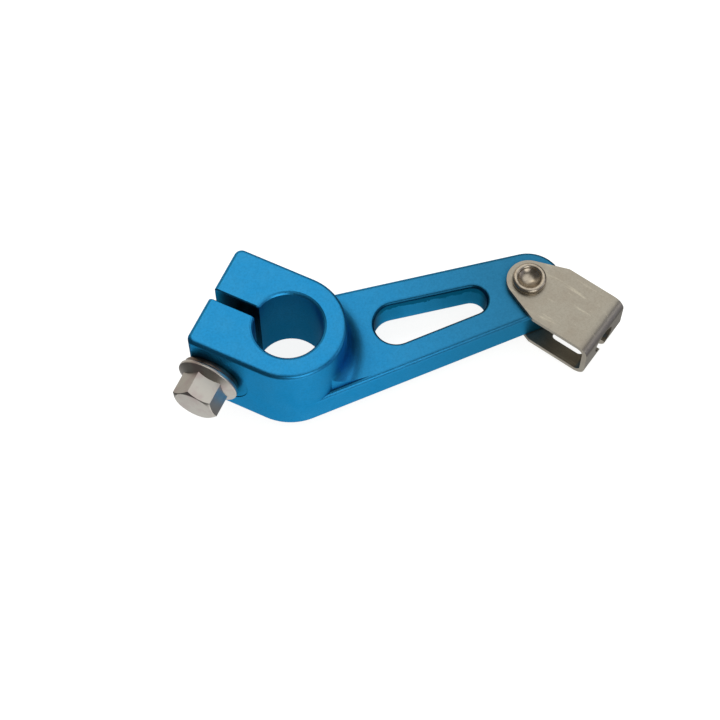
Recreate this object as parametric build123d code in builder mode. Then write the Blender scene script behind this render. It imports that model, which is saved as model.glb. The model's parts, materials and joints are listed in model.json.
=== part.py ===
"""Clutch release lever of a motorcycle: a split-clamp lever arm in anodised aluminium, its pinch
bolt and spring washer, and a stamped cable clevis that swivels on a rivet at the arm's tip.

Millimetres and degrees. The origin is on the axis of the clamp bore, half way up the boss, where
the pinch bolt's axis passes. +Z runs up the bore and +X points from the bore to the clevis rivet.
"""

import os
from math import cos, radians, sin, sqrt, tan

from build123d import *

# Clamp boss
bore_radius = 6.5
bore_chamfer_top = 0.4
bore_chamfer_bottom = 1.5
boss_radius = 10.8
boss_height = 20.0
ear_length = 15.7
ear_angle = 136.0
ear_corner_radius = 1.5
slit_width = 2.0
slit_edge_break = 0.2
edge_round = 0.9

# Arm
arm_thickness = 7.5
arm_length = 48.0
tip_radius = 6.8
root_blend_radius = 5.2
slot_root_x = 21.1
slot_root_radius = 4.2
slot_tip_x = 36.5
slot_tip_radius = 2.85
slot_edge_round = 0.8

# Pinch bolt, M6 with an 8 mm hexagon, and its spring washer
bolt_offset = 10.9
bolt_radius = 3.0
bolt_length = 20.0
thread_pitch = 1.0
thread_depth = 0.55
thread_crest_share = 0.1
thread_flank_share = 0.4
clearance_hole_radius = 3.3
spot_face_radius = 7.5
spot_face_depth = 0.1
hex_across_flats = 8.0
hex_height = 6.4
hex_chamfer_radius = 3.85
hex_chamfer_angle = 30.0
hex_rotation = 44.0
flange_radius = 6.0
flange_rim = 0.95
flange_height = 1.9
flange_edge_round = 0.25
washer_thickness = 0.95
washer_outer_radius = 5.5
washer_inner_radius = 3.15
washer_split = 0.7
washer_edge_round = 0.15
washer_split_angle = 62.0

# Cable clevis, bent from sheet
sheet = 1.0
clevis_play = 0.15
clevis_angle = -54.5
clevis_reach = 17.5
clevis_width = 13.0
clevis_nose_radius = 4.3
clevis_shoulder = 5.0
shoulder_round = 1.2
bend_radius = 1.3
entry_start = 8.2
entry_width = 7.2
entry_corner_radius = 1.0
cable_slot_width = 1.8
cable_eye_radius = 2.8

# Semi-tubular rivet that the clevis swings on
rivet_radius = 2.5
rivet_hole_clearance = 0.07
rivet_head_radius = 4.0
rivet_head_height = 1.3
rivet_head_flat = 2.8
rivet_head_shoulder = (3.65, 0.4)
rolled_rim_radius = 3.25
rolled_rim_height = 1.35
rolled_rim_undercut = (0.15, 0.3)
rolled_mouth_radius = 2.1
rolled_dish_depth = 1.5

os.makedirs("parts", exist_ok=True)

underside = -boss_height / 2
boss_top = boss_height / 2
arm_top = underside + arm_thickness

# Working planes. The ear's frame has X along the slit, away from the bore, and Z up. The bolt's
# frame has its origin where the bolt's axis crosses the slit's middle, and Z towards the head.
ear_direction = Vector(cos(radians(ear_angle)), sin(radians(ear_angle)), 0)
head_direction = Vector(-sin(radians(ear_angle)), cos(radians(ear_angle)), 0)
ear_plane = Plane(origin=(0, 0, underside), x_dir=ear_direction, z_dir=(0, 0, 1))
bolt_origin = ear_direction * bolt_offset
bolt_plane = Plane(origin=bolt_origin, x_dir=ear_direction, z_dir=head_direction)

clevis_direction = Vector(cos(radians(clevis_angle)), sin(radians(clevis_angle)), 0)
clevis_across = Vector(-sin(radians(clevis_angle)), cos(radians(clevis_angle)), 0)
rivet_centre = Vector(arm_length, 0, 0)

spot_face_level = boss_radius - spot_face_depth
head_seat_level = spot_face_level + washer_thickness
clevis_bottom = underside - clevis_play - sheet
clevis_top = arm_top + clevis_play + sheet
clevis_middle = (clevis_bottom + clevis_top) / 2


def tapered_outline(level, near_x, near_radius, far_x, far_radius):
    """Sketch, at a height, of two circles on the X axis joined by their outer tangents."""
    with BuildSketch(Plane.XY.offset(level)) as outline:
        with Locations((near_x, 0)):
            Circle(near_radius)
        with Locations((far_x, 0)):
            Circle(far_radius)
        make_hull()
    return outline.sketch


# The web of the arm: the tapered bar from the boss to the tip, with its edges rounded.
with BuildPart() as arm_bar:
    add(tapered_outline(underside, 0, boss_radius, arm_length, tip_radius))
    extrude(amount=arm_thickness)
    fillet(arm_bar.edges().filter_by(Axis.Z, reverse=True), edge_round)

# The blend where the arm's top runs up into the boss, cut to the width of the bar's flat top.
with BuildPart() as root_blend:
    with BuildSketch(Plane.XZ):
        with BuildLine():
            arc_centre = (boss_radius + root_blend_radius, arm_top + root_blend_radius)
            arc = CenterArc(arc_centre, root_blend_radius, 180, 90)
            inner_edge = (boss_radius + bore_radius) / 2
            Polyline(arc @ 1, (inner_edge, arm_top), (inner_edge, arc_centre[1]), arc @ 0)
        make_face()
    revolve(axis=Axis.Z)
    add(tapered_outline(arm_top, 0, boss_radius - edge_round, arm_length, tip_radius - edge_round))
    extrude(amount=root_blend_radius, mode=Mode.INTERSECT)

# The clamp boss with its two ears, still in one block.
with BuildPart() as clamp_boss:
    with BuildSketch(ear_plane):
        Circle(boss_radius)
        with Locations((ear_length / 2, 0)):
            ear_block = Rectangle(ear_length, 2 * boss_radius)
        fillet(ear_block.vertices().group_by(Axis.X)[-1], ear_corner_radius)
    extrude(amount=boss_height)
    level_edges = clamp_boss.edges().filter_by(Axis.Z, reverse=True)
    fillet(level_edges, edge_round)

with BuildPart() as lever_arm:
    add(clamp_boss.part)
    add(arm_bar.part)
    add(root_blend.part)
    # Clamp bore, with a lead-in chamfer at each mouth
    with BuildSketch(Plane.XZ):
        with BuildLine():
            Polyline(
                (0, underside),
                (bore_radius + bore_chamfer_bottom, underside),
                (bore_radius, underside + bore_chamfer_bottom),
                (bore_radius, boss_top - bore_chamfer_top),
                (bore_radius + bore_chamfer_top, boss_top),
                (0, boss_top),
                close=True,
            )
        make_face()
    revolve(axis=Axis.Z, mode=Mode.SUBTRACT)
    # Lightening slot
    add(tapered_outline(underside, slot_root_x, slot_root_radius, slot_tip_x, slot_tip_radius))
    extrude(amount=arm_thickness, mode=Mode.SUBTRACT)
    slot_walls = lever_arm.faces(Select.LAST)
    fillet(slot_walls.edges().filter_by(Axis.Z, reverse=True), slot_edge_round)
    # Rivet hole
    with BuildSketch(Plane.XY.offset(underside)):
        with Locations((arm_length, 0)):
            Circle(rivet_radius + rivet_hole_clearance)
    extrude(amount=arm_thickness, mode=Mode.SUBTRACT)
    # Slit through both ears into the bore
    with BuildSketch(ear_plane):
        with Locations((ear_length, 0)):
            Rectangle(2 * ear_length, slit_width)
    extrude(amount=boss_height, mode=Mode.SUBTRACT)
    slit_walls = lever_arm.faces(Select.LAST).filter_by(GeomType.PLANE)
    outer_edges = slit_walls.edges().filter_by(lambda edge: edge.center().length > boss_radius)
    chamfer(outer_edges, slit_edge_break)
    # Clearance hole and spot face in the ear under the head, tapped hole in the other ear
    with BuildSketch(bolt_plane):
        Circle(clearance_hole_radius)
    extrude(amount=boss_radius, mode=Mode.SUBTRACT)
    with BuildSketch(bolt_plane.offset(spot_face_level)):
        Circle(spot_face_radius)
    extrude(amount=boss_radius, mode=Mode.SUBTRACT)
    with BuildSketch(bolt_plane):
        Circle(bolt_radius)
    extrude(amount=-boss_radius, mode=Mode.SUBTRACT)
lever_arm.part.label = "lever_arm"
export_step(lever_arm.part, "parts/lever_arm.step")

# Sections of the turned pieces are drawn with X outwards from the axis and Y towards the head.
bolt_section = Plane(origin=bolt_origin, x_dir=ear_direction, z_dir=(0, 0, 1))
bolt_axis = Axis(bolt_origin, head_direction)

with BuildPart() as pinch_bolt:
    # Hexagon, with its corners turned off
    with BuildSketch(bolt_plane.offset(head_seat_level)):
        RegularPolygon(hex_across_flats / 2, 6, major_radius=False, rotation=hex_rotation)
    extrude(amount=hex_height)
    with BuildSketch(bolt_section):
        with BuildLine():
            head_end = head_seat_level + hex_height
            slope_run = flange_radius - hex_chamfer_radius
            Polyline(
                (0, head_seat_level),
                (flange_radius, head_seat_level),
                (flange_radius, head_end - slope_run * tan(radians(hex_chamfer_angle))),
                (hex_chamfer_radius, head_end),
                (0, head_end),
                close=True,
            )
        make_face()
    revolve(axis=bolt_axis, mode=Mode.INTERSECT)
    # Flange, sloping from its rim up to the hexagon
    with BuildSketch(bolt_section):
        with BuildLine():
            Polyline(
                (0, head_seat_level),
                (flange_radius, head_seat_level),
                (flange_radius, head_seat_level + flange_rim),
                (hex_across_flats / 2, head_seat_level + flange_height),
                (0, head_seat_level + flange_height),
                close=True,
            )
        flange_face = make_face()
        rim_corners = flange_face.vertices().group_by(Axis.X)[-1]
        fillet(rim_corners, flange_edge_round)
    revolve(axis=bolt_axis)
    # Threaded shank: V-shaped grooves one pitch apart, ending in a plain point
    root_radius = bolt_radius - thread_depth
    shank_end = head_seat_level - bolt_length
    profile = [(0, head_seat_level), (root_radius, head_seat_level)]
    crest_half = thread_crest_share * thread_pitch / 2
    base_half = crest_half + thread_flank_share * thread_pitch
    for turn in range(1, int(bolt_length / thread_pitch)):
        crest = head_seat_level - turn * thread_pitch
        profile.append((root_radius, crest + base_half))
        profile.append((bolt_radius, crest + crest_half))
        profile.append((bolt_radius, crest - crest_half))
        profile.append((root_radius, crest - base_half))
    profile.append((root_radius, shank_end))
    profile.append((0, shank_end))
    with BuildSketch(bolt_section):
        with BuildLine():
            Polyline(*profile, close=True)
        make_face()
    revolve(axis=bolt_axis)
pinch_bolt.part.label = "pinch_bolt"
export_step(pinch_bolt.part, "parts/pinch_bolt.step")

# Spring washer: a ring with one slanted cut, pressed flat under the flange.
with BuildPart() as lock_washer:
    with BuildSketch(bolt_plane.offset(spot_face_level)):
        Circle(washer_outer_radius)
        Circle(washer_inner_radius, mode=Mode.SUBTRACT)
    extrude(amount=washer_thickness)
    rim_edges = lock_washer.edges().filter_by(GeomType.CIRCLE).group_by(SortBy.RADIUS)[-1]
    fillet(rim_edges, washer_edge_round)
    cut_plane = bolt_plane.offset(spot_face_level).rotated((0, 0, washer_split_angle))
    with BuildSketch(cut_plane):
        with Locations((washer_outer_radius, 0)):
            Rectangle(2 * washer_outer_radius, washer_split)
    extrude(amount=washer_thickness, mode=Mode.SUBTRACT)
lock_washer.part.label = "lock_washer"
export_step(lock_washer.part, "parts/lock_washer.step")

# The clevis is drawn in its own frame: X from the rivet towards the cable, Z up.
clevis_plane = Plane(origin=rivet_centre, x_dir=clevis_direction, z_dir=(0, 0, 1))
clevis_section = Plane(origin=rivet_centre, x_dir=clevis_direction, z_dir=-clevis_across)
web_face = Plane(
    origin=rivet_centre + clevis_direction * clevis_reach + Vector(0, 0, clevis_middle),
    x_dir=clevis_across,
    z_dir=clevis_direction,
)

with BuildPart() as cable_clevis:
    # U section, drawn in the clevis's side view and run across its width
    with BuildSketch(clevis_section):
        outer_radius = bend_radius + sheet
        back = -2 * clevis_nose_radius
        with BuildLine():
            FilletPolyline(
                (back, clevis_top),
                (clevis_reach, clevis_top),
                (clevis_reach, clevis_bottom),
                (back, clevis_bottom),
                radius=outer_radius,
            )
            Line((back, clevis_bottom), (back, clevis_bottom + sheet))
            FilletPolyline(
                (back, clevis_bottom + sheet),
                (clevis_reach - sheet, clevis_bottom + sheet),
                (clevis_reach - sheet, clevis_top - sheet),
                (back, clevis_top - sheet),
                radius=bend_radius,
            )
            Line((back, clevis_top - sheet), (back, clevis_top))
        make_face()
    extrude(amount=clevis_width / 2, both=True)
    # Plan outline: a round nose about the rivet, tapering out to the full width
    with BuildSketch(clevis_plane.offset(clevis_bottom)) as clevis_outline:
        Circle(clevis_nose_radius)
        body_length = clevis_reach - clevis_shoulder
        with Locations((clevis_shoulder + body_length / 2, 0)):
            Rectangle(body_length, clevis_width)
        make_hull()
        fillet(clevis_outline.vertices().group_by(Axis.X)[-2], shoulder_round)
    extrude(amount=clevis_top - clevis_bottom, mode=Mode.INTERSECT)
    # Rivet holes through both legs
    with BuildSketch(clevis_plane.offset(clevis_bottom)):
        Circle(rivet_radius)
    extrude(amount=clevis_top - clevis_bottom, mode=Mode.SUBTRACT)
    # Entry for the cable's nipple in the lower leg, as far as the bend
    entry_end = clevis_reach - sheet - bend_radius
    with BuildSketch(clevis_plane.offset(clevis_bottom)):
        with Locations(((entry_start + entry_end) / 2, 0)):
            RectangleRounded(entry_end - entry_start, entry_width, entry_corner_radius)
    extrude(amount=sheet, mode=Mode.SUBTRACT)
    # Keyhole: a narrow slot from the entry round the bend, up to the eye in the web
    with BuildSketch(web_face):
        Circle(cable_eye_radius)
    extrude(amount=-sheet - bend_radius, mode=Mode.SUBTRACT)
    with BuildSketch(clevis_plane.offset(clevis_bottom)):
        with Locations((clevis_reach - sheet, 0)):
            Rectangle(2 * (clevis_reach - sheet - entry_end) + sheet, cable_slot_width)
    extrude(amount=clevis_middle - clevis_bottom, mode=Mode.SUBTRACT)
cable_clevis.part.label = "cable_clevis"
export_step(cable_clevis.part, "parts/cable_clevis.step")

# Semi-tubular rivet: factory head below, shank, and above it the rim rolled over the clevis.
with BuildPart() as clevis_rivet:
    with BuildSketch(Plane(origin=rivet_centre, x_dir=(1, 0, 0), z_dir=(0, -1, 0))):
        head_bottom = clevis_bottom - rivet_head_height
        rim_top = clevis_top + rolled_rim_height
        rim_crest = (rolled_rim_radius + rolled_mouth_radius) / 2
        rim_round = (rolled_rim_radius - rolled_mouth_radius) / 2
        dish_drop = rolled_dish_depth - rim_round
        dish_radius = (rolled_mouth_radius**2 + dish_drop**2) / (2 * dish_drop)
        dish_centre = rim_top - rolled_dish_depth + dish_radius
        dish_half_height = sqrt(dish_radius**2 - (rolled_mouth_radius / 2) ** 2)
        with BuildLine():
            head = Polyline(
                (0, head_bottom),
                (rivet_head_flat, head_bottom),
            )
            dome = ThreePointArc(
                head @ 1,
                (rivet_head_shoulder[0], head_bottom + rivet_head_shoulder[1]),
                (rivet_head_radius, clevis_bottom),
            )
            shank = Polyline(
                dome @ 1,
                (rivet_radius, clevis_bottom),
                (rivet_radius, clevis_top),
                (rolled_rim_radius - rolled_rim_undercut[0], clevis_top),
                (rolled_rim_radius, clevis_top + rolled_rim_undercut[1]),
                (rolled_rim_radius, rim_top - rim_round),
            )
            rim = CenterArc((rim_crest, rim_top - rim_round), rim_round, 0, 180)
            dish = ThreePointArc(
                (rolled_mouth_radius, rim_top - rim_round),
                (rolled_mouth_radius / 2, dish_centre - dish_half_height),
                (0, rim_top - rolled_dish_depth),
            )
            Line(dish @ 1, (0, head_bottom))
        make_face()
    revolve(axis=Axis(rivet_centre, (0, 0, 1)))
clevis_rivet.part.label = "clevis_rivet"
export_step(clevis_rivet.part, "parts/clevis_rivet.step")
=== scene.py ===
"""Clutch lever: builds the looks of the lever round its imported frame.

The blue arm keeps its frame shape and gets an anodised finish. The bolt, the spring washer, the
clevis and its rivet are modelled here, from sizes in millimetres, in the places that the frame
gives them. Meshes are drawn in millimetres and scaled to metres when a piece is finished.
"""

import json
import logging
import math
from dataclasses import dataclass, field
from enum import Enum

import bmesh
import bpy
from mathutils import Matrix, Vector


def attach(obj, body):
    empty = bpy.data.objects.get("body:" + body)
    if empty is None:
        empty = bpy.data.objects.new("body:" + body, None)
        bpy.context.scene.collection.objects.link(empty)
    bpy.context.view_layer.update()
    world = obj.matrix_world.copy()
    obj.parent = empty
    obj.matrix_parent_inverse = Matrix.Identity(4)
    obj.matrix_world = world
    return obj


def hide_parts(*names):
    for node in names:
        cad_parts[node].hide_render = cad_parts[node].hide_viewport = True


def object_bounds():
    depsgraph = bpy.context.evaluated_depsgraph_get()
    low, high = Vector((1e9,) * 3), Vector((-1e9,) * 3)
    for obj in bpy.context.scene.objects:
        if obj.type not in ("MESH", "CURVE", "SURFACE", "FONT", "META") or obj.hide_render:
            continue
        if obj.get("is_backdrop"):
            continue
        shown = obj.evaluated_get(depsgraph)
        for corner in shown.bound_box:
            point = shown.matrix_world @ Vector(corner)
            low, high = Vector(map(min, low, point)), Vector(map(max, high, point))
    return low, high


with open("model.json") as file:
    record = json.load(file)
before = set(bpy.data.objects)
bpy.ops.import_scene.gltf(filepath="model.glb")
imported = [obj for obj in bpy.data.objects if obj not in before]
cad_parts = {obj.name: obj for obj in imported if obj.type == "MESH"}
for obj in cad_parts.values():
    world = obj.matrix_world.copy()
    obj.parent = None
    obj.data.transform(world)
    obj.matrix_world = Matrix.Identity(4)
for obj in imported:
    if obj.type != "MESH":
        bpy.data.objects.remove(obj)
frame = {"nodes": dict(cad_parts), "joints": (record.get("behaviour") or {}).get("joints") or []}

MM = 0.001
SRGB_KNEE = 0.04045
SRGB_SLOPE = 12.92
SRGB_OFFSET = 0.055
SRGB_POWER = 2.4
FULL_TURN = 2 * math.pi
WELD_MM = 1e-4
THREAD_WELD_MM = 1e-3
CUT_MM = 1e-5
FLAT_WITHIN_DEG = 0.3
EAR_DEG = 136.0
BOLT_OFFSET_MM = 10.9

log = logging.getLogger("clutch_lever")

Point = tuple[float, float]


class Body(Enum):
    """The two bodies that the joint parts."""

    LEVER = "lever"
    CLEVIS = "clevis"


class Slot(Enum):
    """Material slots of the record."""

    ALUMINIUM = "anodised_aluminium"
    BOLT = "zinc_plated_steel"
    WASHER = "spring_steel"
    CLEVIS = "sheet_steel"
    RIVET = "rivet_steel"


# ---------------------------------------------------------------- colour and shader nodes


def linear(hex_colour: str) -> tuple[float, float, float, float]:
    """Turns an sRGB hex colour into the linear colour that a shader takes.

    Args:
        hex_colour: six hex digits after a hash.

    Returns:
        Linear red, green, blue and an alpha of one.
    """
    channels = []
    for start in (1, 3, 5):
        value = int(hex_colour[start : start + 2], 16) / 255
        if value <= SRGB_KNEE:
            channels.append(value / SRGB_SLOPE)
        else:
            channels.append(((value + SRGB_OFFSET) / (1 + SRGB_OFFSET)) ** SRGB_POWER)
    return (*channels, 1.0)


def per_metre(size_mm: float) -> float:
    """Pattern scale that gives one feature every size_mm millimetres."""
    return 1 / (size_mm * MM)


def add_node(
    tree: bpy.types.NodeTree, kind: str, inputs: dict | None = None, **settings: object
) -> bpy.types.Node:
    """Adds a shader node, sets its properties and fills its inputs.

    Args:
        tree: the node tree.
        kind: the node's type name.
        inputs: input name or number to a value, or to the output socket that feeds it.
        **settings: the node's own properties.

    Returns:
        The new node.
    """
    node = tree.nodes.new(kind)
    for name, value in settings.items():
        setattr(node, name, value)
    for key, value in (inputs or {}).items():
        if isinstance(value, bpy.types.NodeSocket):
            tree.links.new(value, node.inputs[key])
        else:
            node.inputs[key].default_value = value
    return node


@dataclass(frozen=True)
class Finish:
    """A metal finish: what every one of them starts from.

    The metals keep the shader's default IOR, because metallic is one.
    """

    name: str
    colour: str
    roughness: float

    def start(self) -> tuple[bpy.types.Material, bpy.types.NodeTree, bpy.types.Node, bpy.types.NodeSocket]:
        """Makes the material with its metallic shader.

        Returns:
            The material, its node tree, its shader and the piece's own coordinates.
        """
        material = bpy.data.materials.new(self.name)
        material.use_nodes = True
        tree = material.node_tree
        shader = tree.nodes["Principled BSDF"]
        shader.inputs["Metallic"].default_value = 1.0
        shader.inputs["Base Color"].default_value = linear(self.colour)
        shader.inputs["Roughness"].default_value = self.roughness
        coordinates = add_node(tree, "ShaderNodeTexCoord").outputs["Object"]
        return material, tree, shader, coordinates

    def build(self) -> bpy.types.Material:
        """Makes the finished material. Each finish has its own."""
        raise NotImplementedError


@dataclass(frozen=True)
class AnodisedAluminium(Finish):
    """Die-cast aluminium, bead-blasted and dyed sky blue before the pores are sealed.

    The dye tints the metal's own reflection, so the shine is blue and there is no white gloss. The
    blasting leaves a satin grain, and the casting a few pinholes. Cut walls show the tool's marks.
    Hollows, the bore and the root blend get painted shade, and the top of the slot's wall gets a
    painted dark reflection band.
    """

    name: str = "anodised_aluminium_blue"
    colour: str = "#2A93CE"
    edge_colour: str = "#B0D6EA"
    tip_colour: str = "#2E7AA2"
    tip_from_mm: float = 4.0
    tip_to_mm: float = 50.0
    roughness: float = 0.34
    # The deep tone of the dye, used for random flecks and also as painted shade and a painted dark
    # reflection.
    deep_dye_and_shade_colour: str = "#0B3C54"
    pale_colour: str = "#44A6DA"
    # Reaches of the two painted shade passes: next to other pieces, and inside the bore and blend.
    near_shade_reach_mm: float = 2.4
    enclosed_shade_reach_mm: float = 9.0
    mottle_mm: float = 5.0
    fleck_mm: float = 0.38
    grit_mm: float = 0.4
    grit_height_mm: float = 0.02
    pinhole_spacing_mm: float = 6.5
    pinhole_share: float = 0.022
    pinhole_depth_mm: float = 0.06
    boring_pitch_mm: float = 0.45
    boring_depth_mm: float = 0.012
    bore_reach_mm: float = 6.8
    # The band fields place a painted dark reflection along the top of the slot's wall.
    band_top_mm: float = -2.6
    band_low_mm: float = -4.6
    band_wobble_mm: float = 2.2
    band_swing_mm: float = 4.0
    band_edge_mm: float = 0.1
    band_strength: float = 0.75
    slot_middle_mm: float = 28.0
    slot_reach_mm: float = 12.2
    slot_width_mm: float = 11.0

    def build(self) -> bpy.types.Material:
        """Makes the finished material.

        Returns:
            The material.
        """
        material, tree, shader, place = self.start()
        mottle = add_node(
            tree,
            "ShaderNodeTexNoise",
            {"Vector": place, "Scale": per_metre(self.mottle_mm), "Detail": 4.0, "Roughness": 0.6},
        ).outputs["Fac"]
        pale = add_node(
            tree,
            "ShaderNodeMapRange",
            {"Value": mottle, "From Min": 0.35, "From Max": 0.75, "To Min": 0.0, "To Max": 0.35},
        ).outputs["Result"]
        dyed = add_node(
            tree,
            "ShaderNodeMix",
            {"Factor": pale, 6: linear(self.colour), 7: linear(self.pale_colour)},
            data_type="RGBA",
        ).outputs[2]
        axes = add_node(tree, "ShaderNodeSeparateXYZ", {0: place}).outputs
        towards_tip = add_node(
            tree,
            "ShaderNodeMapRange",
            {"Value": axes[0], "From Min": self.tip_from_mm * MM, "From Max": self.tip_to_mm * MM},
            interpolation_type="SMOOTHSTEP",
        ).outputs["Result"]
        dyed = add_node(
            tree,
            "ShaderNodeMix",
            {"Factor": towards_tip, 6: dyed, 7: linear(self.tip_colour)},
            data_type="RGBA",
        ).outputs[2]
        fleck = add_node(
            tree,
            "ShaderNodeTexNoise",
            {"Vector": place, "Scale": per_metre(self.fleck_mm), "Detail": 3.0, "Roughness": 0.7},
        ).outputs["Fac"]
        flecked = add_node(
            tree,
            "ShaderNodeMapRange",
            {"Value": fleck, "From Min": 0.4, "From Max": 0.7, "To Max": 0.2},
        ).outputs["Result"]
        dyed = add_node(
            tree,
            "ShaderNodeMix",
            {"Factor": flecked, 6: dyed, 7: linear(self.deep_dye_and_shade_colour)},
            data_type="RGBA",
        ).outputs[2]
        # Painted shade: two ambient-occlusion passes pull the dye towards the deep colour in hollows, next
        # to other pieces, in the bore and in the root blend.
        near_painted_shade = add_node(
            tree, "ShaderNodeAmbientOcclusion", {"Distance": self.near_shade_reach_mm * MM}, samples=8
        ).outputs["AO"]
        enclosed_painted_shade = add_node(
            tree,
            "ShaderNodeAmbientOcclusion",
            {"Distance": self.enclosed_shade_reach_mm * MM},
            samples=8,
            only_local=True,
        ).outputs["AO"]
        unshaded_share = add_node(
            tree, "ShaderNodeMath", {0: near_painted_shade, 1: enclosed_painted_shade}, operation="MULTIPLY"
        ).outputs[0]
        painted_shade_share = add_node(
            tree,
            "ShaderNodeMapRange",
            {"Value": unshaded_share, "From Min": 0.2, "From Max": 0.9, "To Min": 1.0, "To Max": 0.0},
        ).outputs["Result"]
        colour = add_node(
            tree,
            "ShaderNodeMix",
            {"Factor": painted_shade_share, 6: dyed, 7: linear(self.deep_dye_and_shade_colour)},
            data_type="RGBA",
        ).outputs[2]
        shader.inputs["Specular Tint"].default_value = linear(self.edge_colour)
        # The top of the slot's wall gets a painted dark reflection band.
        tree.links.new(self.paint_dark_slot_reflection(tree, place, colour), shader.inputs["Base Color"])
        gloss = add_node(
            tree,
            "ShaderNodeMapRange",
            {
                "Value": mottle,
                "From Min": 0.3,
                "From Max": 0.7,
                "To Min": self.roughness - 0.03,
                "To Max": self.roughness + 0.04,
            },
        ).outputs["Result"]
        tree.links.new(gloss, shader.inputs["Roughness"])
        tree.links.new(self.relief(tree, place), shader.inputs["Normal"])
        return material

    def paint_dark_slot_reflection(
        self, tree: bpy.types.NodeTree, place: bpy.types.NodeSocket, colour: bpy.types.NodeSocket
    ) -> bpy.types.NodeSocket:
        """Paints a dark reflection as a ragged band along the top of the slot's wall.

        Args:
            tree: the material's node tree.
            place: the piece's coordinates.
            colour: the metal's colour so far.

        Returns:
            The colour with the band.
        """
        axes = add_node(tree, "ShaderNodeSeparateXYZ", {0: place}).outputs
        ragged = add_node(
            tree,
            "ShaderNodeTexNoise",
            {"Vector": place, "Scale": per_metre(self.band_wobble_mm), "Detail": 4.0, "Roughness": 0.65},
        ).outputs["Fac"]
        lifted = add_node(
            tree,
            "ShaderNodeMath",
            {0: ragged, 1: self.band_swing_mm * MM, 2: axes[2]},
            operation="MULTIPLY_ADD",
        ).outputs[0]
        low = self.band_low_mm + self.band_swing_mm / 2
        above = add_node(
            tree,
            "ShaderNodeMapRange",
            {
                "Value": lifted,
                "From Min": (low - self.band_edge_mm) * MM,
                "From Max": (low + self.band_edge_mm) * MM,
                "To Max": self.band_strength,
            },
        ).outputs["Result"]
        below = add_node(
            tree, "ShaderNodeMath", {0: axes[2], 1: self.band_top_mm * MM}, operation="LESS_THAN"
        ).outputs[0]
        middle, reach = self.slot_middle_mm * MM, self.slot_reach_mm * MM
        along = add_node(
            tree, "ShaderNodeMath", {0: axes[0], 1: middle, 2: reach}, operation="COMPARE"
        ).outputs[0]
        across = add_node(
            tree,
            "ShaderNodeMath",
            {0: axes[1], 1: 0.0, 2: self.slot_width_mm / 2 * MM},
            operation="COMPARE",
        ).outputs[0]
        share = above
        for limit in (below, along, across):
            share = add_node(tree, "ShaderNodeMath", {0: share, 1: limit}, operation="MULTIPLY").outputs[0]
        return add_node(
            tree,
            "ShaderNodeMix",
            {"Factor": share, 6: colour, 7: linear(self.deep_dye_and_shade_colour)},
            data_type="RGBA",
        ).outputs[2]

    def relief(self, tree: bpy.types.NodeTree, place: bpy.types.NodeSocket) -> bpy.types.NodeSocket:
        """Adds the blasted grain, the pinholes and the boring marks.

        Args:
            tree: the material's node tree.
            place: the piece's coordinates.

        Returns:
            The normal that they make.
        """
        grit = add_node(
            tree,
            "ShaderNodeTexNoise",
            {"Vector": place, "Scale": per_metre(self.grit_mm), "Detail": 2.0, "Roughness": 0.5},
        ).outputs["Fac"]
        grained = add_node(
            tree,
            "ShaderNodeBump",
            {"Height": grit, "Strength": 0.7, "Distance": self.grit_height_mm * MM},
        ).outputs["Normal"]
        cell = add_node(
            tree,
            "ShaderNodeTexVoronoi",
            {"Vector": place, "Scale": per_metre(self.pinhole_spacing_mm)},
        ).outputs["Distance"]
        pinhole = add_node(
            tree,
            "ShaderNodeMapRange",
            {"Value": cell, "From Min": self.pinhole_share / 2, "From Max": self.pinhole_share},
            interpolation_type="SMOOTHSTEP",
        ).outputs["Result"]
        pitted = add_node(
            tree,
            "ShaderNodeBump",
            {"Height": pinhole, "Strength": 0.8, "Distance": self.pinhole_depth_mm * MM, "Normal": grained},
        ).outputs["Normal"]
        # A wave's own period is a tenth of pi at a scale of one.
        rings = add_node(
            tree,
            "ShaderNodeTexWave",
            {
                "Vector": place,
                "Scale": math.pi / 10 * per_metre(self.boring_pitch_mm),
                "Distortion": 1.5,
                "Detail": 2.0,
                "Detail Scale": 0.4,
            },
            wave_type="BANDS",
            bands_direction="Z",
        ).outputs["Fac"]
        flat = add_node(tree, "ShaderNodeVectorMath", {0: place, 1: (1, 1, 0)}, operation="MULTIPLY")
        radius = add_node(
            tree, "ShaderNodeVectorMath", {0: flat.outputs[0]}, operation="LENGTH"
        ).outputs["Value"]
        in_bore = add_node(
            tree, "ShaderNodeMath", {0: radius, 1: self.bore_reach_mm * MM}, operation="LESS_THAN"
        ).outputs[0]
        bored = add_node(tree, "ShaderNodeMath", {0: rings, 1: in_bore}, operation="MULTIPLY").outputs[0]
        return add_node(
            tree,
            "ShaderNodeBump",
            {"Height": bored, "Strength": 0.6, "Distance": self.boring_depth_mm * MM, "Normal": pitted},
        ).outputs["Normal"]


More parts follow.
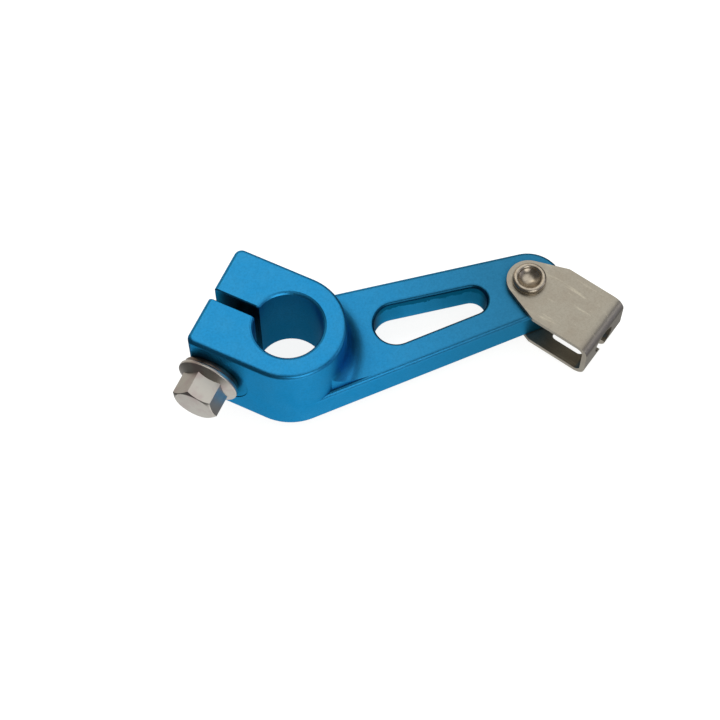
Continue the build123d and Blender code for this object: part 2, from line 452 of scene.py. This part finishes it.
@dataclass(frozen=True)
class PlatedSteel(Finish):
    """Cold-forged steel with a thin coat of bright zinc.

    Zinc is a soft, slightly warm grey with an even satin shine. Under it the forging's skin shows
    as a faint grain, and a passivation film tints some patches pink.
    """

    name: str = "zinc_plated_forged_steel"
    colour: str = "#C8C4BB"
    roughness: float = 0.3
    film_colour: str = "#B7A5A2"
    film_mm: float = 3.2
    grain_mm: float = 0.28
    grain_height_mm: float = 0.01

    def build(self) -> bpy.types.Material:
        """Makes the finished material.

        Returns:
            The material.
        """
        material, tree, shader, place = self.start()
        patches = add_node(
            tree,
            "ShaderNodeTexNoise",
            {"Vector": place, "Scale": per_metre(self.film_mm), "Detail": 3.0, "Roughness": 0.55},
        ).outputs["Fac"]
        film = add_node(
            tree,
            "ShaderNodeMapRange",
            {"Value": patches, "From Min": 0.45, "From Max": 0.7, "To Min": 0.0, "To Max": 0.7},
        ).outputs["Result"]
        colour = add_node(
            tree,
            "ShaderNodeMix",
            {"Factor": film, 6: linear(self.colour), 7: linear(self.film_colour)},
            data_type="RGBA",
        ).outputs[2]
        tree.links.new(colour, shader.inputs["Base Color"])
        grain = add_node(
            tree,
            "ShaderNodeTexNoise",
            {"Vector": place, "Scale": per_metre(self.grain_mm), "Detail": 3.0, "Roughness": 0.6},
        ).outputs["Fac"]
        gloss = add_node(
            tree,
            "ShaderNodeMapRange",
            {"Value": grain, "To Min": self.roughness - 0.06, "To Max": self.roughness + 0.1},
        ).outputs["Result"]
        tree.links.new(gloss, shader.inputs["Roughness"])
        relief = add_node(
            tree,
            "ShaderNodeBump",
            {"Height": grain, "Strength": 0.5, "Distance": self.grain_height_mm * MM},
        ).outputs["Normal"]
        tree.links.new(relief, shader.inputs["Normal"])
        return material


@dataclass(frozen=True)
class RolledSheetSteel(Finish):
    """Cold-rolled steel sheet, passivated, pressed to shape.

    Rolling leaves fine lines along the sheet, which draw the light out across them. Handling has
    left pale rubbed streaks and a faint warm tarnish.
    """

    name: str = "rolled_sheet_steel"
    colour: str = "#ACA698"
    roughness: float = 0.36
    tarnish_colour: str = "#9C9080"
    rub_colour: str = "#CFC8B4"
    grain_turn_deg: float = 0.0
    line_width_mm: float = 0.09
    line_length_mm: float = 4.0
    line_height_mm: float = 0.01
    tarnish_mm: float = 3.6
    rub_width_mm: float = 0.9
    rub_length_mm: float = 5.0
    speckle_mm: float = 0.3
    speckle_colour: str = "#8E877B"

    def build(self) -> bpy.types.Material:
        """Makes the finished material.

        Returns:
            The material.
        """
        material, tree, shader, place = self.start()
        along = add_node(
            tree,
            "ShaderNodeMapping",
            {"Vector": place, "Rotation": (0, 0, math.radians(self.grain_turn_deg))},
        ).outputs["Vector"]
        lines = self.stretched(tree, along, self.line_length_mm, self.line_width_mm, 3.0)
        rubs = self.stretched(tree, along, self.rub_length_mm, self.rub_width_mm, 2.0)
        cloud = add_node(
            tree,
            "ShaderNodeTexNoise",
            {"Vector": place, "Scale": per_metre(self.tarnish_mm), "Detail": 5.0, "Roughness": 0.6},
        ).outputs["Fac"]
        tarnish = add_node(
            tree,
            "ShaderNodeMapRange",
            {"Value": cloud, "From Min": 0.4, "From Max": 0.8, "To Min": 0.0, "To Max": 0.55},
        ).outputs["Result"]
        tarnished = add_node(
            tree,
            "ShaderNodeMix",
            {"Factor": tarnish, 6: linear(self.colour), 7: linear(self.tarnish_colour)},
            data_type="RGBA",
        ).outputs[2]
        rubbed = add_node(
            tree,
            "ShaderNodeMapRange",
            {"Value": rubs, "From Min": 0.6, "From Max": 0.72, "To Min": 0.0, "To Max": 0.6},
        ).outputs["Result"]
        colour = add_node(
            tree,
            "ShaderNodeMix",
            {"Factor": rubbed, 6: tarnished, 7: linear(self.rub_colour)},
            data_type="RGBA",
        ).outputs[2]
        dots = add_node(
            tree,
            "ShaderNodeTexNoise",
            {"Vector": along, "Scale": per_metre(self.speckle_mm), "Detail": 2.0, "Roughness": 0.7},
        ).outputs["Fac"]
        speckle = add_node(
            tree,
            "ShaderNodeMapRange",
            {"Value": dots, "From Min": 0.42, "From Max": 0.72, "To Max": 0.4},
        ).outputs["Result"]
        speckled = add_node(
            tree,
            "ShaderNodeMix",
            {"Factor": speckle, 6: colour, 7: linear(self.speckle_colour)},
            data_type="RGBA",
        ).outputs[2]
        tree.links.new(speckled, shader.inputs["Base Color"])
        gloss = add_node(
            tree,
            "ShaderNodeMapRange",
            {"Value": lines, "To Min": self.roughness - 0.08, "To Max": self.roughness + 0.1},
        ).outputs["Result"]
        tree.links.new(gloss, shader.inputs["Roughness"])
        relief = add_node(
            tree,
            "ShaderNodeBump",
            {"Height": lines, "Strength": 0.45, "Distance": self.line_height_mm * MM},
        ).outputs["Normal"]
        tree.links.new(relief, shader.inputs["Normal"])
        return material

    def stretched(
        self,
        tree: bpy.types.NodeTree,
        along: bpy.types.NodeSocket,
        length_mm: float,
        width_mm: float,
        detail: float,
    ) -> bpy.types.NodeSocket:
        """Adds noise that is drawn out along the sheet.

        Args:
            tree: the material's node tree.
            along: coordinates with X along the sheet.
            length_mm: length of a streak.
            width_mm: width of a streak.
            detail: octaves of noise.

        Returns:
            The noise's height.
        """
        scale = (per_metre(length_mm), per_metre(width_mm), per_metre(width_mm))
        squeezed = add_node(tree, "ShaderNodeMapping", {"Vector": along, "Scale": scale}).outputs["Vector"]
        return add_node(
            tree, "ShaderNodeTexNoise", {"Vector": squeezed, "Scale": 1.0, "Detail": detail}
        ).outputs["Fac"]


@dataclass(frozen=True)
class BurnishedSteel(Finish):
    """Soft steel rubbed bright by the rolling tool.

    The tool leaves a near mirror with faint rings round the axis, over small dents.
    """

    name: str = "burnished_rivet_steel"
    colour: str = "#BDB2A1"
    roughness: float = 0.24
    shade_colour: str = "#8E8170"
    dent_mm: float = 1.1
    dent_height_mm: float = 0.015

    def build(self) -> bpy.types.Material:
        """Makes the finished material.

        Returns:
            The material.
        """
        material, tree, shader, place = self.start()
        dents = add_node(
            tree,
            "ShaderNodeTexNoise",
            {"Vector": place, "Scale": per_metre(self.dent_mm), "Detail": 3.0, "Roughness": 0.55},
        ).outputs["Fac"]
        shade = add_node(
            tree,
            "ShaderNodeMapRange",
            {"Value": dents, "From Min": 0.45, "From Max": 0.75, "To Min": 0.0, "To Max": 0.8},
        ).outputs["Result"]
        colour = add_node(
            tree,
            "ShaderNodeMix",
            {"Factor": shade, 6: linear(self.colour), 7: linear(self.shade_colour)},
            data_type="RGBA",
        ).outputs[2]
        tree.links.new(colour, shader.inputs["Base Color"])
        gloss = add_node(
            tree,
            "ShaderNodeMapRange",
            {"Value": dents, "To Min": self.roughness - 0.06, "To Max": self.roughness + 0.14},
        ).outputs["Result"]
        tree.links.new(gloss, shader.inputs["Roughness"])
        relief = add_node(
            tree,
            "ShaderNodeBump",
            {"Height": dents, "Strength": 0.5, "Distance": self.dent_height_mm * MM},
        ).outputs["Normal"]
        tree.links.new(relief, shader.inputs["Normal"])
        return material


# ---------------------------------------------------------------- mesh work


def arc(centre: Point, radius: float, start_deg: float, end_deg: float, count: int) -> list[Point]:
    """Points along an arc of a profile, its ends included.

    Args:
        centre: the arc's centre, as distance from the axis and height.
        radius: the arc's radius.
        start_deg: where it starts.
        end_deg: where it ends.
        count: how many points.

    Returns:
        The points in order.
    """
    points = []
    for step in range(count):
        angle = math.radians(start_deg + (end_deg - start_deg) * step / (count - 1))
        points.append((centre[0] + radius * math.cos(angle), centre[1] + radius * math.sin(angle)))
    return points


def drawn_profile(profile: list[Point]) -> tuple[bmesh.types.BMesh, list]:
    """Draws a profile in the XZ plane.

    Args:
        profile: distance from the Z axis and height of each point.

    Returns:
        The mesh, and its vertices and edges.
    """
    mesh = bmesh.new()
    vertices = [mesh.verts.new((radius, 0, height)) for radius, height in profile]
    edges = [mesh.edges.new(pair) for pair in zip(vertices, vertices[1:])]
    return mesh, vertices + edges


def turned(profile: list[Point], steps: int) -> bmesh.types.BMesh:
    """Turns a profile that starts and ends on the axis into a closed shape.

    Args:
        profile: distance from the Z axis and height of each point.
        steps: facets round the axis.

    Returns:
        The turned mesh, with its faces outwards.
    """
    mesh, line = drawn_profile(profile)
    bmesh.ops.spin(
        mesh, geom=line, cent=(0, 0, 0), axis=(0, 0, 1), angle=FULL_TURN, steps=steps, use_merge=True
    )
    bmesh.ops.remove_doubles(mesh, verts=mesh.verts, dist=WELD_MM)
    bmesh.ops.recalc_face_normals(mesh, faces=mesh.faces)
    return mesh


def sliced(mesh: bmesh.types.BMesh, point: Vector, normal: Vector) -> None:
    """Cuts off what lies beyond a plane and closes the cut.

    Args:
        mesh: a closed mesh.
        point: a point on the plane.
        normal: the plane's normal, towards what goes.
    """
    everything = mesh.verts[:] + mesh.edges[:] + mesh.faces[:]
    cut = bmesh.ops.bisect_plane(
        mesh, geom=everything, dist=CUT_MM, plane_co=point, plane_no=normal, clear_outer=True
    )
    rim = [item for item in cut["geom_cut"] if isinstance(item, bmesh.types.BMEdge)]
    bmesh.ops.contextual_create(mesh, geom=rim)


def softened(mesh: bmesh.types.BMesh, sharper_than_deg: float, width: float, segments: int = 2) -> None:
    """Breaks the edges that are sharper than an angle.

    Args:
        mesh: a closed mesh.
        sharper_than_deg: smallest turn between two faces that counts as an edge.
        width: width of the break.
        segments: facets across the break.
    """
    limit = math.radians(sharper_than_deg)
    sharp = [edge for edge in mesh.edges if edge.is_manifold and edge.calc_face_angle(0) > limit]
    bmesh.ops.bevel(
        mesh,
        geom=sharp,
        offset=width,
        offset_type="OFFSET",
        affect="EDGES",
        segments=segments,
        profile=0.5,
        material=-1,
        clamp_overlap=True,
    )


def as_object(mesh: bmesh.types.BMesh, name: str) -> bpy.types.Object:
    """Hands a finished mesh over to an object.

    Args:
        mesh: the mesh, which is freed.
        name: the object's name.

    Returns:
        The object, linked to the scene.
    """
    data = bpy.data.meshes.new(name)
    mesh.to_mesh(data)
    mesh.free()
    made = bpy.data.objects.new(name, data)
    bpy.context.scene.collection.objects.link(made)
    return made


def united(first: bpy.types.Object, second: bpy.types.Object) -> None:
    """Welds the second object into the first and removes it.

    Args:
        first: the object that stays.
        second: the object that is used up.
    """
    weld = first.modifiers.new("weld", "BOOLEAN")
    weld.operation = "UNION"
    weld.solver = "EXACT"
    weld.object = second
    bpy.context.view_layer.update()
    shape = bpy.data.meshes.new_from_object(first.evaluated_get(bpy.context.evaluated_depsgraph_get()))
    first.modifiers.remove(weld)
    first.data = shape
    bpy.data.objects.remove(second)


def frame_copy(node: str) -> bmesh.types.BMesh:
    """Copies a frame node's mesh, in millimetres, with its triangles joined up.

    Args:
        node: the node's name.

    Returns:
        A closed mesh whose flat faces are whole.
    """
    mesh = bmesh.new()
    mesh.from_mesh(frame["nodes"][node].data)
    bmesh.ops.scale(mesh, vec=Vector((1, 1, 1)) / MM, verts=mesh.verts)
    bmesh.ops.remove_doubles(mesh, verts=mesh.verts, dist=WELD_MM)
    bmesh.ops.dissolve_limit(
        mesh,
        angle_limit=math.radians(FLAT_WITHIN_DEG),
        verts=mesh.verts,
        edges=mesh.edges,
        use_dissolve_boundaries=False,
    )
    return mesh


@dataclass(frozen=True)
class Placement:
    """Where a piece that is drawn about the Z axis belongs: its origin, its axis and its X side."""

    origin: Vector
    axis: Vector
    side: Vector

    def matrix(self) -> Matrix:
        """Transform from the piece's own millimetres to the frame's metres."""
        across = self.axis.cross(self.side)
        turn = Matrix((self.side, across, self.axis)).transposed().to_4x4()
        return Matrix.Scale(MM, 4) @ Matrix.Translation(self.origin) @ turn


UPRIGHT = Placement(Vector((0, 0, 0)), Vector((0, 0, 1)), Vector((1, 0, 0)))


def finished(
    piece: bpy.types.Object,
    placement: Placement,
    material: bpy.types.Material,
    body: Body,
    replaced: str,
    smooth_below_deg: float = 32.0,
) -> bpy.types.Object:
    """Puts a piece in its place, shades it, hides the frame node that it stands for and hangs it on its
    body.

    Args:
        piece: the object, drawn in millimetres.
        placement: where it belongs.
        material: its finish.
        body: the body that it rides on.
        replaced: the frame node that it stands for.
        smooth_below_deg: largest turn between faces that is shaded smooth.

    Returns:
        The piece.
    """
    piece.data.transform(placement.matrix())
    piece.data.materials.clear()
    piece.data.materials.append(material)
    piece.data.shade_smooth()
    piece.data.set_sharp_from_angle(angle=math.radians(smooth_below_deg))
    even = piece.modifiers.new("even_normals", "WEIGHTED_NORMAL")
    even.keep_sharp = True
    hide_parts(replaced)
    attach(piece, body.value)
    return piece


def report(piece: bpy.types.Object) -> None:
    """Logs a piece's name, size and face count.

    Args:
        piece: the finished object.
    """
    size = piece.dimensions / MM
    faces = len(piece.data.polygons)
    log.info("%s: %.1f x %.1f x %.1f mm, %d faces", piece.name, size.x, size.y, size.z, faces)


# ---------------------------------------------------------------- the lever


@dataclass
class LeverArm:
    """The cast arm with its clamp boss. Its frame shape is right, so it only gets its finish."""

    node: str = "lever_arm"
    finish: Finish = field(default_factory=AnodisedAluminium)

    def build(self) -> bpy.types.Object:
        """Dresses the frame's node.

        Returns:
            The frame's object.
        """
        arm = frame["nodes"][self.node]
        arm.data.materials.clear()
        arm.data.materials.append(self.finish.build())
        return arm


@dataclass
class PinchBolt:
    """M6 bolt with a small flange. Drawn about Z from the middle of the slit, head upwards."""

    placement: Placement
    seat: float = 11.65
    length: float = 20.0
    across_flats: float = 8.0
    turn_deg: float = 44.0
    head_height: float = 6.4
    face_radius: float = 3.85
    chamfer_deg: float = 30.0
    blank_radius: float = 4.7
    flange_radius: float = 6.0
    flange_rim: float = 0.95
    flange_height: float = 1.9
    cone_inset: float = 0.1
    rim_round: float = 0.28
    thread_radius: float = 3.0
    root_radius: float = 2.45
    pitch: float = 1.0
    crest_share: float = 0.12
    flank_deg: float = 30.0
    thread_steps: int = 48
    edge_break: float = 0.26
    round_steps: int = 128
    finish: Finish = field(default_factory=PlatedSteel)

    def hexagon(self) -> bmesh.types.BMesh:
        """Cuts six flats on a turned blank, which leaves the curved edges of a real bolt head.

        Returns:
            The hexagon, closed, with its edges broken.
        """
        top = self.seat + self.head_height
        slope = (self.blank_radius - self.face_radius) * math.tan(math.radians(self.chamfer_deg))
        foot = self.seat + self.flange_rim / 2
        profile = [
            (0, foot),
            (self.blank_radius, foot),
            (self.blank_radius, top - slope),
            (self.face_radius, top),
            (0, top),
        ]
        blank = turned(profile, self.round_steps)
        for side in range(6):
            angle = math.radians(self.turn_deg + 30 + 60 * side)
            outwards = Vector((math.cos(angle), math.sin(angle), 0))
            sliced(blank, outwards * self.across_flats / 2, outwards)
        softened(blank, sharper_than_deg=14, width=self.edge_break)
        return blank

    def flange(self) -> bmesh.types.BMesh:
        """Turns the flange with its rounded rim and the cone that runs up to the hexagon.

        Returns:
            The flange, closed.
        """
        rim_centre = self.flange_radius - self.rim_round
        cone_top = self.seat + self.flange_height
        profile = [(0, self.seat)]
        profile += arc((rim_centre, self.seat + self.rim_round), self.rim_round, -90, 0, 5)
        profile += arc((rim_centre, self.seat + self.flange_rim - self.rim_round), self.rim_round, 0, 72, 5)
        profile += [(self.across_flats / 2 - self.cone_inset, cone_top), (0, cone_top)]
        return turned(profile, self.round_steps)

    def shank(self) -> bmesh.types.BMesh:
        """Winds one pitch of the thread's outline up the shank as a true helix.

        Returns:
            The threaded shank, closed at both ends.
        """
        crest = self.crest_share * self.pitch / 2
        flank = (self.thread_radius - self.root_radius) * math.tan(math.radians(self.flank_deg))
        start = self.seat - self.length - self.pitch
        outline = [
            (self.root_radius, 0),
            (self.root_radius, self.pitch / 2 - crest - flank),
            (self.thread_radius, self.pitch / 2 - crest),
            (self.thread_radius, self.pitch / 2 + crest),
            (self.root_radius, self.pitch / 2 + crest + flank),
            (self.root_radius, self.pitch),
        ]
        mesh, line = drawn_profile([(radius, start + height) for radius, height in outline])
        turns = int(self.length / self.pitch) + 2
        rise = self.pitch / self.thread_steps
        bmesh.ops.spin(
            mesh,
            geom=line,
            cent=(0, 0, 0),
            axis=(0, 0, 1),
            dvec=(0, 0, rise),
            angle=FULL_TURN * turns,
            steps=self.thread_steps * turns,
        )
        bmesh.ops.remove_doubles(mesh, verts=mesh.verts, dist=THREAD_WELD_MM)
        bmesh.ops.recalc_face_normals(mesh, faces=mesh.faces)
        sliced(mesh, Vector((0, 0, self.seat + self.flange_rim / 3)), Vector((0, 0, 1)))
        sliced(mesh, Vector((0, 0, self.seat - self.length)), Vector((0, 0, -1)))
        return mesh

    def build(self) -> bpy.types.Object:
        """Makes the bolt in one piece.

        Returns:
            The finished bolt.
        """
        bolt = as_object(self.flange(), "flange_bolt")
        united(bolt, as_object(self.hexagon(), "hexagon"))
        united(bolt, as_object(self.shank(), "shank"))
        return finished(
            bolt, self.placement, self.finish.build(), Body.LEVER, "pinch_bolt"
        )


@dataclass
class LockWasher:
    """Spring washer under the flange: a square-section ring with one cut."""

    placement: Placement
    seat: float = 10.7
    thickness: float = 0.95
    outer_radius: float = 5.5
    inner_radius: float = 3.15
    corner: float = 0.14
    gap: float = 0.7
    gap_angle_deg: float = 62.0
    steps: int = 120
    # The washer's steel is darker and browner than the bolt's.
    finish: Finish = field(
        default_factory=lambda: PlatedSteel(
            name="dark_brown_spring_steel", colour="#837468", film_colour="#57463D"
        )
    )

    def build(self) -> bpy.types.Object:
        """Sweeps the ring's section from one lip of the cut to the other.

        Returns:
            The finished washer.
        """
        low, high = self.seat + self.corner, self.seat + self.thickness - self.corner
        near, far = self.inner_radius + self.corner, self.outer_radius - self.corner
        section = arc((far, high), self.corner, 0, 90, 4) + arc((near, high), self.corner, 90, 180, 4)
        section += arc((near, low), self.corner, 180, 270, 4) + arc((far, low), self.corner, 270, 360, 4)
        mesh = bmesh.new()
        corners = [mesh.verts.new((radius, 0, height)) for radius, height in section]
        lip = mesh.faces.new(corners)
        cut = self.gap / self.outer_radius
        bmesh.ops.rotate(
            mesh,
            cent=(0, 0, 0),
            matrix=Matrix.Rotation(math.radians(self.gap_angle_deg) + cut / 2, 3, "Z"),
            verts=mesh.verts,
        )
        bmesh.ops.spin(
            mesh, geom=[lip], cent=(0, 0, 0), axis=(0, 0, 1), angle=FULL_TURN - cut, steps=self.steps
        )
        bmesh.ops.recalc_face_normals(mesh, faces=mesh.faces)
        washer = as_object(mesh, "spring_washer")
        return finished(
            washer, self.placement, self.finish.build(), Body.LEVER, "lock_washer"
        )


@dataclass
class CableClevis:
    """The bent sheet that takes the cable. The press leaves every edge slightly broken."""

    angle_deg: float = -54.5
    edge_break: float = 0.2

    def build(self) -> bpy.types.Object:
        """Breaks the edges of the frame's bent sheet.

        Returns:
            The finished clevis.
        """
        mesh = frame_copy("cable_clevis")
        softened(mesh, sharper_than_deg=40, width=self.edge_break)
        clevis = as_object(mesh, "bent_clevis")
        finish = RolledSheetSteel(grain_turn_deg=-self.angle_deg)
        return finished(clevis, UPRIGHT, finish.build(), Body.CLEVIS, "cable_clevis")


@dataclass
class ClevisRivet:
    """Semi-tubular rivet: a factory head below, and above it the tube's end rolled outwards."""

    placement: Placement
    bottom: float = -11.15
    top: float = -1.35
    shank_radius: float = 2.5
    head_radius: float = 4.0
    head_height: float = 1.3
    head_flat: float = 2.6
    head_wall: float = 0.35
    dome_steps: int = 7
    rim_radius: float = 3.25
    mouth_radius: float = 2.1
    rim_height: float = 1.35
    undercut: float = 0.16
    dish_depth: float = 1.5
    steps: int = 96
    finish: Finish = field(default_factory=BurnishedSteel)

    def profile(self) -> list[Point]:
        """Outline of the rivet from the bottom of its axis to the bottom of its dish.

        Returns:
            The outline's points.
        """
        head_bottom = self.bottom - self.head_height
        dome_depth = self.head_radius - self.head_flat
        points = [(0, head_bottom), (self.head_flat, head_bottom)]
        dome_top = self.bottom - self.head_wall
        for step in range(1, self.dome_steps + 1):
            angle = math.radians(90 * step / self.dome_steps)
            radius = self.head_flat + dome_depth * math.sin(angle)
            points.append((radius, dome_top - (dome_top - head_bottom) * math.cos(angle)))
        points += [
            (self.head_radius, self.bottom),
            (self.shank_radius, self.bottom),
            (self.shank_radius, self.top),
        ]
        rim_round = (self.rim_radius - self.mouth_radius) / 2
        crest = (self.rim_radius + self.mouth_radius) / 2
        rim_level = self.top + self.rim_height - rim_round
        points += [
            (self.rim_radius - self.undercut, self.top),
            (self.rim_radius, self.top + 2 * self.undercut),
        ]
        points += arc((crest, rim_level), rim_round, 0, 180, 13)
        drop = self.dish_depth - rim_round
        dish_radius = (self.mouth_radius**2 + drop**2) / (2 * drop)
        half_deg = math.degrees(math.asin(self.mouth_radius / dish_radius))
        dish_centre = (0, self.top + self.rim_height - self.dish_depth + dish_radius)
        points += arc(dish_centre, dish_radius, -90 + half_deg, -90, 14)[1:]
        return points

    def build(self) -> bpy.types.Object:
        """Turns the rivet.

        Returns:
            The finished rivet.
        """
        rivet = as_object(turned(self.profile(), self.steps), "rolled_rivet")
        return finished(
            rivet, self.placement, self.finish.build(), Body.CLEVIS, "clevis_rivet"
        )


# ---------------------------------------------------------------- the studio


@dataclass(frozen=True)
class Window:
    """A soft bright patch in what the metal mirrors: where it is, how wide, how strong."""

    towards: tuple[float, float, float]
    half_width_deg: float
    fade_deg: float
    strength: float
    colour: str = "#FFFFFF"


@dataclass
class Studio:
    """Pale floor, soft light and the camera. Lengths are in millimetres where no unit is named."""

    azimuth_deg: float = -18.75
    elevation_deg: float = 64.09
    distance: float = 372.8
    target: Vector = field(default_factory=lambda: Vector((11.69, -6.44, 0.25)))
    lens: float = 100.0
    sensor_width: float = 36.0
    clip_start_m: float = 0.01
    floor_size: float = 3000.0
    floor_roughness: float = 0.9
    floor_colour: str = "#8C8C8B"
    glow_colour: str = "#F4F4F3"
    floor_glow: float = 0.96
    # The card under the bore is painted shade: a dim glow standing in for the shadowed floor.
    card_radius: float = 9.5
    card_lift: float = 0.05
    shade_card_glow: float = 0.27
    room_colour: str = "#FFFFFF"
    room_strength: float = 0.95
    dark_level: float = 0.08
    lamp_towards: Vector = field(default_factory=lambda: Vector((0.25, 0.5, 1.0)))
    lamp_distance: float = 700.0
    lamp_size: float = 420.0
    lamp_watts: float = 2.2
    windows: tuple[Window, ...] = (
        Window((0.34, 0.2, 0.92), 26, 22, 0.87),
        Window((0.05, -0.9, 0.42), 12, 12, 1.9),
        Window((0.1, -0.87, -0.45), 14, 20, 0.5),
        Window((-0.08, -0.38, -0.92), 24, 28, 0.72),
        Window((0.85, -0.5, 0.0), 20, 24, 0.36, "#E2E4FF"),
        Window((0.93, -0.35, 0.2), 5, 6, 1.0),
        Window((-0.38, 0.91, -0.15), 18, 24, 0.18, "#FFF6EC"),
        Window((0.0, 0.93, 0.37), 26, 26, 0.32, "#FFF4E6"),
        Window((-0.13, 0.67, 0.73), 6, 8, 0.9, "#FFF8E8"),
        Window((0.1, 0.8, -0.58), 22, 22, 0.45),
    )

    def camera(self) -> None:
        """Adds the camera."""
        azimuth, elevation = math.radians(self.azimuth_deg), math.radians(self.elevation_deg)
        level = math.cos(elevation)
        back = Vector((math.sin(azimuth) * level, -math.cos(azimuth) * level, math.sin(elevation)))
        data = bpy.data.cameras.new("camera")
        data.lens = self.lens
        data.sensor_width = self.sensor_width
        data.clip_start = self.clip_start_m
        camera = bpy.data.objects.new("camera", data)
        camera.location = (self.target + back * self.distance) * MM
        camera.rotation_mode = "QUATERNION"
        camera.rotation_quaternion = (-back).to_track_quat("-Z", "Y")
        bpy.context.scene.collection.objects.link(camera)
        bpy.context.scene.camera = camera

    def floor(self) -> None:
        """Adds the floor just under the lowest piece. Metal mirrors the room instead of it."""
        mesh = bmesh.new()
        bmesh.ops.create_grid(mesh, x_segments=1, y_segments=1, size=self.floor_size / 2 * MM)
        floor = as_object(mesh, "floor")
        floor.location.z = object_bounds()[0].z
        floor.visible_glossy = False
        material = bpy.data.materials.new("matt_studio_card")
        material.use_nodes = True
        shader = material.node_tree.nodes["Principled BSDF"]
        shader.inputs["Base Color"].default_value = linear(self.floor_colour)
        shader.inputs["Roughness"].default_value = self.floor_roughness
        shader.inputs["Emission Color"].default_value = linear(self.glow_colour)
        shader.inputs["Emission Strength"].default_value = self.floor_glow
        floor.data.materials.append(material)
        floor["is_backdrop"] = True

    def painted_shade_card(self) -> None:
        """Lays a dimly glowing card under the clamp bore: painted shade that stands in for the floor's
        shadow there.
        Only the metal mirrors it, so the bore's wall mirrors a dim floor.
        """
        mesh = bmesh.new()
        bmesh.ops.create_circle(mesh, cap_ends=True, segments=48, radius=self.card_radius * MM)
        card = as_object(mesh, "painted_shade_card")
        card.location.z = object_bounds()[0].z + self.card_lift * MM
        card.visible_camera = False
        card.visible_diffuse = False
        card.visible_shadow = False
        material = bpy.data.materials.new("glowing_shade_card")
        material.use_nodes = True
        shader = material.node_tree.nodes["Principled BSDF"]
        shader.inputs["Base Color"].default_value = (0.0, 0.0, 0.0, 1.0)
        shader.inputs["Specular IOR Level"].default_value = 0.0
        shader.inputs["Emission Color"].default_value = linear(self.room_colour)
        shader.inputs["Emission Strength"].default_value = self.shade_card_glow
        card.data.materials.append(material)
        card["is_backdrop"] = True

    def room(self) -> None:
        """Lights the scene evenly, and gives the metal a dark room with bright windows to mirror."""
        world = bpy.data.worlds.new("studio_room")
        world.use_nodes = True
        bpy.context.scene.world = world
        tree = world.node_tree
        tree.nodes.clear()
        towards = add_node(tree, "ShaderNodeTexCoord").outputs["Generated"]
        light: tuple | bpy.types.NodeSocket = (self.dark_level,) * 3
        for window in self.windows:
            facing = add_node(
                tree,
                "ShaderNodeVectorMath",
                {0: towards, 1: Vector(window.towards).normalized()},
                operation="DOT_PRODUCT",
            ).outputs["Value"]
            patch = add_node(
                tree,
                "ShaderNodeMapRange",
                {
                    "Value": facing,
                    "From Min": math.cos(math.radians(window.half_width_deg + window.fade_deg)),
                    "From Max": math.cos(math.radians(window.half_width_deg)),
                    "To Max": window.strength,
                },
                interpolation_type="SMOOTHSTEP",
            ).outputs["Result"]
            light = add_node(
                tree,
                "ShaderNodeVectorMath",
                {0: patch, 1: linear(window.colour)[:3], 2: light},
                operation="MULTIPLY_ADD",
            ).outputs[0]
        mirrored = add_node(tree, "ShaderNodeBackground", {"Color": light}).outputs[0]
        seen = add_node(
            tree,
            "ShaderNodeBackground",
            {"Color": linear(self.room_colour), "Strength": self.room_strength},
        ).outputs[0]
        glossy = add_node(tree, "ShaderNodeLightPath").outputs["Is Glossy Ray"]
        both = add_node(tree, "ShaderNodeMixShader", {0: glossy, 1: seen, 2: mirrored}).outputs[0]
        add_node(tree, "ShaderNodeOutputWorld", {"Surface": both})

    def softbox(self) -> None:
        """Adds the square softbox overhead, which faces the object. Metal doesn't mirror it."""
        data = bpy.data.lights.new("overhead_softbox", "AREA")
        data.shape = "SQUARE"
        data.size = self.lamp_size * MM
        data.energy = self.lamp_watts
        lamp = bpy.data.objects.new("overhead_softbox", data)
        lamp.visible_glossy = False
        lamp.location = (self.target + self.lamp_towards.normalized() * self.lamp_distance) * MM
        lamp.rotation_mode = "QUATERNION"
        lamp.rotation_quaternion = (-self.lamp_towards).to_track_quat("-Z", "Y")
        bpy.context.scene.collection.objects.link(lamp)

    def build(self) -> None:
        """Sets up the whole studio."""
        bpy.context.scene.view_settings.view_transform = "Standard"
        self.camera()
        self.floor()
        self.painted_shade_card()
        self.room()
        self.softbox()


def joint_point(name: str) -> Vector:
    """A joint's place in the frame.

    Args:
        name: the joint's name.

    Returns:
        The point, in millimetres.
    """
    for joint in frame["joints"]:
        if joint["name"] == name:
            return Vector(joint["pos_m"]) / MM
    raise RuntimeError(f"there is no joint named {name}")


def main() -> None:
    """Builds the lever piece by piece and reports each one."""
    logging.basicConfig(level=logging.INFO, format="%(name)s: %(message)s")
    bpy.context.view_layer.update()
    ear = math.radians(EAR_DEG)
    along_slit = Vector((math.cos(ear), math.sin(ear), 0))
    towards_head = Vector((-math.sin(ear), math.cos(ear), 0))
    bolt_line = Placement(along_slit * BOLT_OFFSET_MM, towards_head, along_slit)
    pivot = joint_point("clevis_swivel")
    rivet_line = Placement(Vector((pivot.x, pivot.y, 0)), Vector((0, 0, 1)), Vector((1, 0, 0)))
    makers = (
        LeverArm(),
        PinchBolt(bolt_line),
        LockWasher(bolt_line),
        CableClevis(),
        ClevisRivet(rivet_line),
    )
    for maker in makers:
        report(maker.build())
    Studio().build()


if __name__ == "__main__":
    main()
